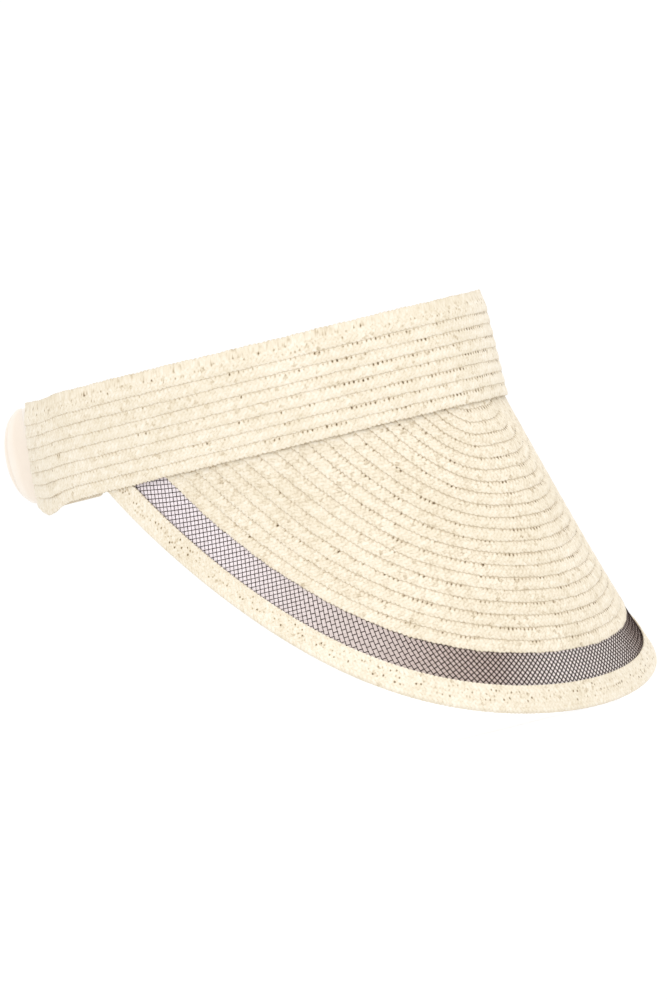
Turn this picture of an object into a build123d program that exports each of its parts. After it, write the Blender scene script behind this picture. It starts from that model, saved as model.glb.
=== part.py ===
from build123d import *
from math import cos, degrees, exp, pi, radians, sin
import os

# Sun visor, in millimetres. The origin is the centre of the head opening, level with the lower
# edge of the headband. +Z is up, -Y is the wearer's front and +X the wearer's left.

# headband
band_half_length = 100.0        # outer oval, front to back
band_half_width = 78.5          # outer oval, side to side
band_height = 41.8
band_rows = 8
band_end_top = 136.0            # degrees from the front where the top row ends
band_end_bottom = 149.0         # and where the bottom row ends

# straw braid, sewn in overlapping rows
braid_width = 8.8
braid_thickness = 0.74
lap_step = 0.89                 # how much further out a row stands than the row it covers

# brim: its wall is a vertical oval that opens as it hangs down
brim_rows = 21
front_flare = 0.384             # slope of the front where it leaves the band
front_curl = -0.00163           # how that slope eases, per mm of depth
side_flare = -0.018
side_curl = 0.00497
first_row_depth = 2.0           # depth of the first row at the front, below the band
row_depth_step = 4.93
first_row_reach = 9.3           # degrees each side of the front where the first row meets the band
row_reach_step = 3.98
mesh_edge_depth = 112.9         # lower edge of the mesh that shows
mesh_edge_reach = 98.0
rim_depth = 122.5               # outer edge of the brim
rim_reach = 105.8
tuck = 3.0                      # how far the brim reaches up behind the headband
run_on = 4.5                    # degrees that a row runs on past the band's edge, before the cut

# the arch of a row: its sharpness and fullness change with its depth
arch_depth = 115.4
arch_power = 1.985
arch_power_growth = 0.408
arch_fill = 0.099
arch_fill_growth = 1.333
rim_power_change = -0.094       # the outer edge's own arch
rim_fill_change = -0.0085
arch_round = 0.12               # rounds the top of the arch off
fade_height = 12.0              # row lines flatten out by this height above the band's edge
under_band = 9.0                # height where the rows that pass under the band end
ease_depth = 6.0                # depth over which the lap's direction turns with the brim's slope

mesh_thickness = 0.5
mesh_tuck = 0.8                 # rows that the mesh reaches up behind the last straw row
mesh_hem = 0.45                 # how much of the rim's height it reaches down behind
rim_fold = 1.3                  # height of the hollow inside the folded rim braid
wire_diameter = 1.1

# sweatband, inside the straw
sweatband_bottom = 3.4
sweatband_top = 37.0
sweatband_dip = 4.2             # how much lower it hangs behind the brim's ends,
dip_start = 109.0               # and where, in degrees from the front, it starts and is full
dip_full = 118.0
sweatband_thickness = 1.0
sweatband_inset = 2.7           # from the oval to the sweatband's outer face
sweatband_reach = 132.0         # degrees each side of the front

# back strap: a puffed fabric sleeve over a flat elastic, its flat ends sewn inside the straw
strap_bottom = 3.4
strap_height = 35.8
strap_reach = 135.0             # degrees from the front where its flat ends start
puff_start = 149.2              # where it starts to swell out of the straw, and where it is full
puff_full = 157.0
flat_thickness = 1.9
flat_inset = 3.7                # from the oval to the middle of the flat end
puff_thickness = 9.6
puff_middle = 2.8               # how far the middle of the full part stands out of the oval
sleeve_wall = 0.4
elastic_height = 22.0
elastic_thickness = 0.9
tack_angle = 141.0
tack_heights = (8.0, 19.0, 30.0)
tack_height = 3.2
tack_width = 1.0                # degrees
tack_thickness = 0.5
tack_gap = 0.3

row_points = 41                 # points along each edge curve of a braid
strap_points = 41
strap_corners = 12
wire_sides = 10

band_pitch = (band_height - braid_width) / (band_rows - 1)
brim_lap = braid_width / row_depth_step
brim_inset = braid_thickness + lap_step * tuck / band_pitch + 0.08
edge_row = brim_rows + 2        # level of the brim's outer edge; the mesh's lower edge is one less


def half_length(depth):
    return band_half_length + front_flare * depth + front_curl * depth**2


def half_width(depth):
    return band_half_width + side_flare * depth + side_curl * depth**2


def wall_point(angle, depth, out=0.0):
    """A point of the wall at an angle from the front and a depth below the band's lower edge,
    moved out along the wall's own normal. Above the lower edge the wall is straight."""
    below = max(depth, 0.0)
    long, wide = half_length(below), half_width(below)
    slope_long = front_flare + 2 * front_curl * below
    slope_wide = side_flare + 2 * side_curl * below
    s, c = sin(angle), cos(angle)
    ease = min(1.0, below / ease_depth)
    normal = Vector(
        long * s, -wide * c, ease * (slope_long * wide * c * c + slope_wide * long * s * s)
    ).normalized()
    return Vector(wide * s, -long * c, -depth) + normal * out


def level_depth_and_reach(level):
    """Depth at the front and reach to the side of a row edge, by its level: 1 for the first row's
    lower edge, 2 for the second's and so on."""
    straw = min(level, brim_rows)
    depth = first_row_depth + (straw - 1) * row_depth_step
    reach = first_row_reach + (straw - 1) * row_reach_step
    mesh = min(max(level - brim_rows, 0.0), 1.0)
    rim = min(max(level - brim_rows - 1, 0.0), 1.0)
    depth += mesh * (mesh_edge_depth - depth)
    reach += mesh * (mesh_edge_reach - reach)
    depth += rim * (rim_depth - mesh_edge_depth)
    reach += rim * (rim_reach - mesh_edge_reach)
    return depth, radians(reach)


def row_edge_depth(level, angle):
    """Depth of a row edge below the band at an angle from the front."""
    if level < 1:
        return -under_band
    depth, reach = level_depth_and_reach(level)
    size = depth / arch_depth - 1
    power = arch_power + arch_power_growth * size
    fill = arch_fill + arch_fill_growth * size
    rim = min(max(level - brim_rows - 1, 0.0), 1.0)
    power += rim * rim_power_change
    fill += rim * rim_fill_change
    crown = arch_round**power
    fall = ((angle / reach) ** 2 + arch_round**2) ** (power / 2) - crown
    rise = 1 - fall / ((1 + arch_round**2) ** (power / 2) - crown)
    z = depth * rise * (1 - fill * (1 - rise))
    return z if z > 0 else -fade_height * (1 - exp(z / fade_height))


def spread(reach, count=row_points):
    return [reach * (2 * i / (count - 1) - 1) for i in range(count)]


def strip(rings):
    """A closed solid from a ring of edge curves. Each curve is a list of points along the strip."""
    along = [i / (len(rings[0]) - 1) for i in range(len(rings[0]))]
    edges = [Edge.make_spline(points, parameters=along) for points in rings]
    faces = [Face.make_surface_from_curves(a, b) for a, b in zip(edges, edges[1:] + edges[:1])]
    for end in (0, -1):
        corners = [points[end] for points in rings]
        rungs = list(zip(corners, corners[::-1]))[: len(corners) // 2]
        for (a, b), (c, d) in zip(rungs, rungs[1:]):
            faces.append(Face.make_surface_from_curves(Edge.make_line(a, c), Edge.make_line(b, d)))
    return Solid(Shell(faces))


def below_tuck(solid):
    """The part of a brim piece that lies under the height where the brim is cut off."""
    keep = Pos(0, 0, tuck - 100) * Box(400, 400, 200)
    return solid & keep


def lapped_ring(levels, angles, edge_point, thickness):
    """Edge curves of a strip: out along the front side, back along the rear side."""
    front = [[edge_point(level, a, out) for a in angles] for level, out in levels]
    back = [[edge_point(level, a, out - thickness) for a in angles] for level, out in levels]
    return front + back[::-1]


def brim_point(level, angle, out):
    return wall_point(angle, row_edge_depth(level, angle), out - brim_inset)


def brim_row(row):
    """One row of braid. Its lower edge lies over the next row out, its upper edge under the row
    before, and it bends where its neighbours' edges cross it, so that they lie flat together."""
    reach = level_depth_and_reach(row)[1]
    lap = brim_lap - 1
    levels = [(row, 0.0), (row - lap, -lap), (row - 1, -1.0), (row - brim_lap, -brim_lap)]
    if row == 2:
        levels = [(2, 0.0), (2 - lap, -lap), (1, -1.0), (0, -brim_lap)]
    if row == 1:
        levels = [(1, 0.0), (0, -lap)]
    levels = [(level, out * lap_step) for level, out in levels]
    angles = spread(reach + radians(run_on))
    return below_tuck(strip(lapped_ring(levels, angles, brim_point, braid_thickness)))


def band_row(row):
    """One row of the headband, counted from the top. Each row lies over the one below it."""
    bottom = (band_rows - row) * band_pitch
    end = band_end_top + (row - 1) / (band_rows - 1) * (band_end_bottom - band_end_top)
    lap = braid_width - band_pitch
    heights = [0, lap, band_pitch, braid_width]
    levels = [(-(bottom + h), -h / band_pitch * lap_step) for h in heights]
    angles = spread(radians(end), 2 * row_points)

    def edge_point(level, angle, out):
        return wall_point(angle, level, out)

    return strip(lapped_ring(levels, angles, edge_point, braid_thickness))


def mesh_insert():
    """The open mesh between the last straw row and the rim braid, tucked under both."""
    levels = [(brim_rows - mesh_tuck, -1 - mesh_tuck), (brim_rows, -1.0), (brim_rows + 0.5, -1.0)]
    levels += [(edge_row - 1, -1.0), (edge_row - 1 + mesh_hem, -1.0)]
    levels = [(level, out * lap_step) for level, out in levels]
    angles = spread(level_depth_and_reach(edge_row - 1 + mesh_hem)[1] + radians(run_on))
    return below_tuck(strip(lapped_ring(levels, angles, brim_point, mesh_thickness)))


def rim_profile_point(angle, across, out):
    """A point beside the brim's outer edge: across is how far past the edge it lies, and out is
    how far it stands off, both in the edge's own frame."""
    reach = level_depth_and_reach(edge_row)[1]
    small = reach / 400
    here = brim_point(edge_row, angle, 0.0)
    along = brim_point(edge_row, angle + small, 0.0) - brim_point(edge_row, angle - small, 0.0)
    normal = brim_point(edge_row, angle, 1.0) - here
    down = normal.cross(along).normalized()
    if down.Z > 0:
        down = -down
    return here + down * across + normal * out


def rim_braid():
    """The braid round the outer edge, folded over the edge wire: the front wall from the mesh's
    lower edge, the fold, and a short rear wall."""
    reach = level_depth_and_reach(edge_row)[1]
    angles = spread(reach + radians(run_on))
    wall = braid_thickness
    ring = [[brim_point(edge_row - 1, a, 0.0) for a in angles]]
    ring += [[brim_point(edge_row - 0.5, a, 0.0) for a in angles]]
    outer_radius = rim_fold / 2 + wall
    for step in range(6):
        turn = pi * step / 5
        across, out = outer_radius * sin(turn), outer_radius * (cos(turn) - 1)
        ring.append([rim_profile_point(a, across, out) for a in angles])
    rear = -2 * outer_radius
    ring.append([brim_point(edge_row - 0.4, a, rear) for a in angles])
    ring.append([brim_point(edge_row - 0.4, a, rear + wall) for a in angles])
    for step in range(5, -1, -1):
        turn = pi * step / 5
        across, out = rim_fold / 2 * sin(turn), rim_fold / 2 * cos(turn) - outer_radius
        ring.append([rim_profile_point(a, across, out) for a in angles])
    ring.append([brim_point(edge_row - 0.5, a, -wall) for a in angles])
    ring.append([brim_point(edge_row - 1, a, -wall) for a in angles])
    return below_tuck(strip(ring))


def rim_wire():
    """The wire in the rim's fold."""
    reach = level_depth_and_reach(edge_row)[1]
    angles = spread(reach + radians(run_on))
    middle = -(rim_fold / 2 + braid_thickness)
    radius = wire_diameter / 2
    ring = []
    for side in range(wire_sides):
        turn = 2 * pi * side / wire_sides
        across, out = radius * cos(turn), middle + radius * sin(turn)
        ring.append([rim_profile_point(a, across, out) for a in angles])
    return below_tuck(strip(ring))


def upright_strip(start, end, profile, count):
    """A strip that follows the oval. The profile is a list of (height, out) pairs, or a function
    of the angle that returns one."""
    angles = [radians(start + (end - start) * i / (count - 1)) for i in range(count)]
    shapes = [profile(a) if callable(profile) else profile for a in angles]
    corners = range(len(shapes[0]))
    ring = [[wall_point(a, -s[k][0], s[k][1]) for a, s in zip(angles, shapes)] for k in corners]
    return strip(ring)


def smooth(x):
    """0 below 0, 1 above 1, and an even slope between."""
    x = min(1.0, max(0.0, x))
    return x * x * (3 - 2 * x)


def sweatband():
    near, far = -sweatband_inset, -(sweatband_inset + sweatband_thickness)

    def section(angle):
        dip = smooth((abs(degrees(angle)) - dip_start) / (dip_full - dip_start))
        low = sweatband_bottom - sweatband_dip * dip
        return [(low, near), (sweatband_top, near), (sweatband_top, far), (low, far)]

    return upright_strip(-sweatband_reach, sweatband_reach, section, 2 * row_points)


def strap_section(angle, inset, half_height):
    """Section of the strap: a flat oval that swells out behind the ends of the straw. The inset
    moves its outline inwards."""
    from_front = degrees(angle) if angle < pi else 360 - degrees(angle)
    puff = smooth((from_front - puff_start) / (puff_full - puff_start))
    half = (flat_thickness + puff * (puff_thickness - flat_thickness)) / 2 - inset
    out = -flat_inset + puff * (puff_middle + flat_inset)
    middle = strap_bottom + strap_height / 2
    turns = [2 * pi * (k + 0.5) / strap_corners for k in range(strap_corners)]
    stretch = 1 / cos(pi / strap_corners)
    return [
        (middle + half_height * cos(t) * stretch, out + half * max(-1, min(1, 1.25 * sin(t))))
        for t in turns
    ]


def strap_sleeve():
    def outside(angle):
        return strap_section(angle, 0.0, strap_height / 2)

    def inside(angle):
        return strap_section(angle, sleeve_wall, strap_height / 2 - sleeve_wall)

    outer = upright_strip(strap_reach, 360 - strap_reach, outside, strap_points)
    inner = upright_strip(strap_reach - 1, 361 - strap_reach, inside, strap_points)
    return outer - inner


def strap_elastic():
    low = strap_bottom + (strap_height - elastic_height) / 2

    def section(angle):
        outline = strap_section(angle, 0.0, elastic_height / 2)
        middle = sum(out for height, out in outline) / strap_corners
        near, far = middle + elastic_thickness / 2, middle - elastic_thickness / 2
        return [(low, near), (low + elastic_height, near), (low + elastic_height, far), (low, far)]

    return upright_strip(strap_reach, 360 - strap_reach, section, strap_points)


def strap_tacks(side):
    """Bars of stitches that hold one end of the strap to the straw."""
    near = -(flat_inset + flat_thickness / 2 + tack_gap)
    far = near - tack_thickness
    bars = []
    for low in tack_heights:
        high = low + tack_height
        section = [(low, near), (high, near), (high, far), (low, far)]
        start = side * tack_angle - tack_width / 2
        bars.append(upright_strip(start, start + tack_width, section, 3))
    return Compound(children=bars)


def build():
    os.makedirs("parts", exist_ok=True)
    parts = {}
    for row in range(1, band_rows + 1):
        parts[f"band_row_{row}"] = band_row(row)
    for row in range(1, brim_rows + 1):
        parts[f"brim_row_{row:02d}"] = brim_row(row)
    parts["brim_mesh"] = mesh_insert()
    parts["rim_braid"] = rim_braid()
    parts["rim_wire"] = rim_wire()
    parts["sweatband"] = sweatband()
    parts["strap_sleeve"] = strap_sleeve()
    parts["strap_elastic"] = strap_elastic()
    parts["strap_tacks_right"] = strap_tacks(-1)
    parts["strap_tacks_left"] = strap_tacks(1)
    for name, shape in parts.items():
        export_step(shape, f"parts/{name}.step")


if __name__ == "__main__":
    build()
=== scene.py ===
from math import cos, pi, radians, sin

import bmesh
import bpy
import numpy as np
from mathutils import Matrix, Vector


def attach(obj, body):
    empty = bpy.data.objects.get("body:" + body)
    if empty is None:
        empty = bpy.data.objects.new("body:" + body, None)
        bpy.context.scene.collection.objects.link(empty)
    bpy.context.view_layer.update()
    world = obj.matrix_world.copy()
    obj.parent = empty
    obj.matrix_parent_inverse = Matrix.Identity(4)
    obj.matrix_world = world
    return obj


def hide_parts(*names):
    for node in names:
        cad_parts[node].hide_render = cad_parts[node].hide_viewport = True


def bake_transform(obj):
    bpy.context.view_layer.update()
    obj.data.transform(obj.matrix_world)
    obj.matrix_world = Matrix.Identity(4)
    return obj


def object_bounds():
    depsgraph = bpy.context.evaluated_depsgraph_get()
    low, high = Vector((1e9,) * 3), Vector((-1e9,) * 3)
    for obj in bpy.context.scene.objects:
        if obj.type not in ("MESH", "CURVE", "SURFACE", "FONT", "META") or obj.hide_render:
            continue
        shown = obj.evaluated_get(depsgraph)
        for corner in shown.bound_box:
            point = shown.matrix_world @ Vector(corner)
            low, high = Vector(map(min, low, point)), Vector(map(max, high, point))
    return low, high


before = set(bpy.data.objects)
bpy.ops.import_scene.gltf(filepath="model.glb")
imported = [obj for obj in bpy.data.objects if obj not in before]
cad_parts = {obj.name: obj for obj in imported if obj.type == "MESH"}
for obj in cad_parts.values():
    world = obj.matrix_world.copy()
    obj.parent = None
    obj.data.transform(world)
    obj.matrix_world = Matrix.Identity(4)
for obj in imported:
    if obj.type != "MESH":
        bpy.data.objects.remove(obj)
cad_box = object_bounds()
rng = np.random.default_rng(7)

WORLD_LIGHT = 1.04
# name, direction that it shines in, spread in degrees and strength
LIGHTS = [("key", (0.75, 0.55, -0.75), 60, 0.75), ("fill", (-0.6, 0.3, -1.0), 80, 0.35)]

# ---------------------------------------------------------------- the wall that the straw follows
# Metres. The wall is a vertical oval that opens as it hangs down from the headband's lower edge.

MM = 0.001
BAND_HALF_LENGTH, BAND_HALF_WIDTH = 100.0 * MM, 78.5 * MM
BAND_HEIGHT, BAND_ROWS = 41.8 * MM, 8
BAND_END_TOP, BAND_END_BOTTOM = radians(136.0), radians(149.0)
BRAID_WIDTH, BRAID_THICKNESS, LAP_STEP = 8.8 * MM, 0.74 * MM, 0.89 * MM
BRIM_ROWS = 21
FRONT_FLARE, FRONT_CURL = 0.384, -0.00163 / MM
SIDE_FLARE, SIDE_CURL = -0.018, 0.00497 / MM
FIRST_DEPTH, DEPTH_STEP = 2.0 * MM, 4.93 * MM
FIRST_REACH, REACH_STEP = radians(9.3), radians(3.98)
MESH_EDGE_DEPTH, MESH_EDGE_REACH = 112.9 * MM, radians(98.0)
RIM_DEPTH, RIM_REACH = 122.5 * MM, radians(105.8)
RIM_POWER_CHANGE, RIM_FILL_CHANGE = -0.094, -0.0085
TUCK = 3.0 * MM                 # how far the brim reaches up behind the headband
EASE_DEPTH = 6 * MM             # the wall's normal tilts over this depth
FADE_HEIGHT = 12 * MM           # level lines stay below this height past their reach
UNDER_BAND = 9 * MM             # height of level 0, behind the headband
RUN_ON = radians(4.5)           # how far a row runs on past the band's edge, before the cut
NUDGE = 1e-4                    # small step in a level or an angle, for slopes
LEVEL_STEP = 0.15               # largest step between levels while a grid is squared
ARCH_DEPTH, ARCH_ROUND = 115.4 * MM, 0.12
ARCH_POWER, ARCH_POWER_GROWTH = 1.985, 0.408
ARCH_FILL, ARCH_FILL_GROWTH = 0.099, 1.333
BAND_PITCH = (BAND_HEIGHT - BRAID_WIDTH) / (BAND_ROWS - 1)
BRIM_INSET = BRAID_THICKNESS + LAP_STEP * TUCK / BAND_PITCH + 0.08 * MM
EDGE_ROW = BRIM_ROWS + 2        # level of the brim's outer edge


def wall(angle, depth, out):
    """Points of the wall at angles from the front and depths below the band's lower edge, moved
    out along the wall's normal. All three are arrays of one shape."""
    below = np.maximum(depth, 0.0)
    long = BAND_HALF_LENGTH + FRONT_FLARE * below + FRONT_CURL * below**2
    wide = BAND_HALF_WIDTH + SIDE_FLARE * below + SIDE_CURL * below**2
    slope_long = FRONT_FLARE + 2 * FRONT_CURL * below
    slope_wide = SIDE_FLARE + 2 * SIDE_CURL * below
    s, c = np.sin(angle), np.cos(angle)
    ease = np.clip(below / EASE_DEPTH, 0.0, 1.0)
    up = ease * (slope_long * wide * c * c + slope_wide * long * s * s)
    normal = np.stack([long * s, -wide * c, up], -1)
    normal /= np.linalg.norm(normal, axis=-1, keepdims=True)
    return np.stack([wide * s, -long * c, -depth], -1) + normal * np.asarray(out)[..., None]


def depth_and_reach(level):
    """Depth at the front and reach to the side of a row edge, by its level."""
    straw = np.minimum(level, BRIM_ROWS)
    depth = FIRST_DEPTH + (straw - 1) * DEPTH_STEP
    reach = FIRST_REACH + (straw - 1) * REACH_STEP
    mesh = np.clip(level - BRIM_ROWS, 0.0, 1.0)
    rim = np.clip(level - BRIM_ROWS - 1, 0.0, 1.0)
    depth = depth + mesh * (MESH_EDGE_DEPTH - depth) + rim * (RIM_DEPTH - MESH_EDGE_DEPTH)
    reach = reach + mesh * (MESH_EDGE_REACH - reach) + rim * (RIM_REACH - MESH_EDGE_REACH)
    return depth, reach


def edge_depth(level, angle):
    """Depth of the brim's level lines. Level 1 is the first row's lower edge, 2 the second's."""
    depth, reach = depth_and_reach(np.maximum(level, 1.0))
    size = depth / ARCH_DEPTH - 1
    power = ARCH_POWER + ARCH_POWER_GROWTH * size
    fill = ARCH_FILL + ARCH_FILL_GROWTH * size
    rim = np.clip(level - BRIM_ROWS - 1, 0.0, 1.0)
    power = power + rim * RIM_POWER_CHANGE
    fill = fill + rim * RIM_FILL_CHANGE
    crown = ARCH_ROUND**power
    fall = ((angle / reach) ** 2 + ARCH_ROUND**2) ** (power / 2) - crown
    rise = 1 - fall / ((1 + ARCH_ROUND**2) ** (power / 2) - crown)
    z = depth * rise * (1 - fill * (1 - rise))
    z = np.where(z > 0, z, -FADE_HEIGHT * (1 - np.exp(np.minimum(z, 0) / FADE_HEIGHT)))
    above = np.clip(1 - level, 0.0, None)
    return z + above * (-UNDER_BAND - z)


def brim_surface(level, angle, out):
    return wall(angle, edge_depth(level, angle), out - BRIM_INSET)


def band_surface(level, angle, out):
    """The headband's wall: here a level is a height in rows above its lower edge, negative up."""
    return wall(angle, level * BAND_PITCH, out)


def distances(line):
    """Distance along a line of points, from its first point to each."""
    return np.concatenate([[0], np.cumsum(np.linalg.norm(np.diff(line, axis=0), axis=1))])


def even_angles(surface, level, start, end, step):
    """Angles that divide a level line into equal lengths near step, and that length."""
    fine = np.linspace(start, end, 4000)
    run = distances(surface(np.full_like(fine, level), fine, np.zeros_like(fine)))
    count = int(round(run[-1] / step)) + 1
    return np.interp(np.linspace(0, run[-1], count), run, fine), run[-1] / (count - 1)


def square_grid(surface, middle, levels, start, end, step):
    """Angles of a grid whose columns cross the level lines squarely. Returns an array of angles,
    one row for each level, and the grid's step along the middle line."""
    angles, step = even_angles(surface, middle, start, end, step)
    grid = np.zeros((len(levels), len(angles)))
    zero = np.zeros_like(angles)

    def slope(level, angle):
        lv = np.full_like(angle, level)
        along = surface(lv, angle + NUDGE, zero) - surface(lv, angle - NUDGE, zero)
        across = surface(lv + NUDGE, angle, zero) - surface(lv - NUDGE, angle, zero)
        return (along * across).sum(-1) / (along * along).sum(-1)

    for way in (1, -1):
        here, at = angles.copy(), middle
        for k in sorted(range(len(levels)), key=lambda k: way * levels[k]):
            if way * (levels[k] - middle) < 0:
                continue
            steps = max(1, int(abs(levels[k] - at) / LEVEL_STEP))
            for _ in range(steps):
                change = (levels[k] - at) / steps
                here = here - slope(at, here) * change
                at += change
            at = levels[k]
            grid[k] = here
    return grid, step


# ---------------------------------------------------------------- meshes

CUT, NET_CUT = TUCK, 2.4 * MM   # straw and net stop at these heights, behind the headband


def tube_quads(columns, ring):
    """Quads of a tube: ring vertices in each of the columns, which follow one another."""
    c = np.arange(columns - 1)[:, None] * ring
    r = np.arange(ring)[None, :]
    n = (r + 1) % ring
    return np.stack([c + r, c + ring + r, c + ring + n, c + n], -1).reshape(-1, 4)


def cap_quads(first, ring):
    """Quads that close a tube's end: each joins two vertices of one side to two of the other."""
    k = np.arange(ring // 2 - 1)
    return np.stack([first + k, first + k + 1, first + ring - 2 - k, first + ring - 1 - k], -1)


def closed_quads(columns, ring):
    """Quads of a tube with both ends closed."""
    return np.concatenate([tube_quads(columns, ring), cap_quads(0, ring),
                           cap_quads((columns - 1) * ring, ring)])


def new_piece(name, points, quads, tone=None, cut=None, fill=False):
    """A mesh object from points and quads, with a tone for each point. With a cut, what lies above
    that height goes, and fill closes the hole that it leaves."""
    points = np.array(points, float)
    if cut is not None:
        above = points[:, 2] > cut
        quads = quads[~above[quads].all(1)]
        points[above, 2] = cut
    used = np.zeros(len(points), bool)
    used[quads.ravel()] = True
    index = np.cumsum(used) - 1
    points, quads = points[used], index[quads]
    mesh = bpy.data.meshes.new(name)
    mesh.vertices.add(len(points))
    mesh.vertices.foreach_set("co", points.astype(np.float32).ravel())
    mesh.loops.add(quads.size)
    mesh.loops.foreach_set("vertex_index", quads.astype(np.int32).ravel())
    mesh.polygons.add(len(quads))
    mesh.polygons.foreach_set("loop_start", np.arange(0, quads.size, 4, dtype=np.int32))
    mesh.polygons.foreach_set("loop_total", np.full(len(quads), 4, np.int32))
    mesh.update(calc_edges=True)
    mesh.validate()
    if tone is not None:
        data = mesh.attributes.new("tone", "FLOAT", "POINT").data
        data.foreach_set("value", np.asarray(tone, np.float32)[used])
    bm = bmesh.new()
    bm.from_mesh(mesh)
    if fill:
        edges = [e for e in bm.edges if e.is_boundary]
        bmesh.ops.holes_fill(bm, edges=edges, sides=0)
    bmesh.ops.recalc_face_normals(bm, faces=bm.faces)
    bm.to_mesh(mesh)
    bm.free()
    mesh.shade_smooth()
    piece = bpy.data.objects.new(name, mesh)
    bpy.context.collection.objects.link(piece)
    return piece


def finish_piece(piece, material, slot, body, *nodes):
    piece.data.materials.clear()
    piece.data.materials.append(material)
    if body:
        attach(piece, body)
    if nodes:
        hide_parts(*nodes)
    return piece


# ---------------------------------------------------------------- straw braid

CELL = 1.9 * MM                 # length of one diamond of the plait
FINE = CELL / 5
RELIEF = 0.17 * MM
SHOWN = 5.4 * MM                # width of braid that its neighbour leaves in sight
EDGE_ROUND = 0.15 * MM          # a section's points stop this short of its edges
NOTCH_DEPTH, NOTCH_WIDTH = 0.45 * MM, 1.2 * MM
HALF_FLAT = 0.26 * MM           # half the braid's thickness between its strands
PRESS, PRESS_WIDTH = 0.50 * MM, 1.0 * MM    # the lower edge is sewn down
LIFT_UP, LIFT_WIDTH = 0.30 * MM, 0.9 * MM   # and the upper edge stands up
THINNING, THIN_WIDTH = 0.70, 0.8 * MM
LEAN_SPAN = radians(26)         # a slanted end leans over this much of the row
FADE_START, FADE_SPAN = radians(36), radians(34)    # where the painted shadow points along a seam fade


def across_points(fine_back):
    """Distances up from the lower edge for one section, with the side they lie on: 1 front,
    0 edge and -1 back. The order goes round the section."""
    def side(shown):
        hidden = [SHOWN + 0.3 * MM, 7.2 * MM, BRAID_WIDTH - EDGE_ROUND]
        return np.concatenate([shown, hidden])

    fine, coarse = np.arange(EDGE_ROUND, SHOWN, FINE), np.linspace(EDGE_ROUND, SHOWN, 4)[:-1]
    front, rear = side(fine), BRAID_WIDTH - side(fine if fine_back else coarse)
    return [(v, 1) for v in front] + [(BRAID_WIDTH, 0)] + [(v, -1) for v in rear] + [(0.0, 0)]


def smooth(x):
    x = np.clip(x, 0, 1)
    return x * x * (3 - 2 * x)


def drift(u, seed, *lengths):
    """A smooth wander between about -1 and 1 along a row, with the given wavelengths."""
    waves = [np.sin(2 * pi * u / w + 2.4 * seed + 5.1 * k) for k, w in enumerate(lengths)]
    return sum(waves) / len(lengths) ** 0.5


def scatter(a, b, seed):
    """An even but irregular value from 0 to 1 for each pair of whole numbers."""
    return np.modf(np.abs(np.sin(a * 78.233 + b * 37.719 + seed * 11.13) * 24634.6345))[0]


def plait(u, v, seed):
    """Relief (0 to 1) and tone (0 to 1) of the plait at distances along and across the braid.
    Each strand runs over two others and under two, slanting one way or the other."""
    u = u + 0.16 * CELL * drift(u + 3 * v, seed, 7.3 * MM, 3.1 * MM)
    v = v + 0.12 * CELL * drift(u - 2 * v, seed + 4, 9.1 * MM, 4.3 * MM)
    p, q = (u + v) / CELL, (u - v) / CELL
    i, j = np.floor(p), np.floor(q)
    place = np.mod(i - j, 4)
    over = place < 2
    across = np.where(over, p - i, q - j)
    along = np.where(over, q - j, p - i)
    half = np.where(over, 1 - np.mod(place, 2), np.mod(place, 2))
    along = (along + half) / 2
    relief = np.sin(pi * across) ** 0.7 * np.clip(np.sin(pi * along), 0, 1) ** 0.4
    strand = scatter(np.where(over, i, j), over * 1.0, seed)
    cell = scatter(i, j, seed)
    # Painted shade: the tone is darker in the hollows between strands. It also differs at random by
    # strand and by cell.
    tone = 0.66 + 0.26 * relief + 0.12 * (strand - 0.5) + 0.16 * (cell - 0.5)
    tone = tone + rng.normal(0, 0.035, np.shape(tone))
    return relief, np.where(cell > 0.98, tone - 0.3, tone)


def seam_shadow_teeth(u, v, at, seed, calm):
    """Painted shadow: dark points that the row above's scalloped edge casts along a seam, deeper in
    some stretches than in others. Where calm is low they are faint, apart from a few."""
    depth = np.clip(0.70 + 0.5 * drift(u, seed + 2, 67 * MM, 31 * MM, 13 * MM), 0.32, 1.25)
    chance = scatter(np.floor(u / CELL + 0.5), 5.0, seed)
    own = calm * (0.42 + 0.85 * chance) + 0.8 * (1 - calm) * (chance > 0.93)
    point = np.clip(1 - np.abs(np.mod(u / CELL + 0.5, 1) - 0.5) / 0.26, 0, 1)
    near = np.clip(1.2 - np.abs(v - at) / (0.62 * MM), 0, 1)
    return depth * own * point * near


def specks(u, v, rows, seed):
    """Scattered dark points in rows, for the braid's open stitches."""
    total = 0.0
    for k, at in enumerate(rows):
        index = np.floor(u / CELL + 0.5 * k)
        there = (index + 0.5 - 0.5 * k + 0.6 * (scatter(index, k, seed) - 0.5)) * CELL
        height = at + 1.5 * MM * (scatter(index, k + 3, seed) - 0.5)
        strength = np.clip(1.9 * scatter(index, k + 7, seed) - 0.65, 0, 1)
        strength = strength * np.clip(0.7 + 0.6 * drift(u, seed + k, 53 * MM, 23 * MM), 0.15, 1.2)
        apart = np.hypot((u - there) / (0.36 * MM), (v - height) / (0.50 * MM))
        total = total + strength * np.clip(1.35 - apart, 0, 1)
    return total


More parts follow.
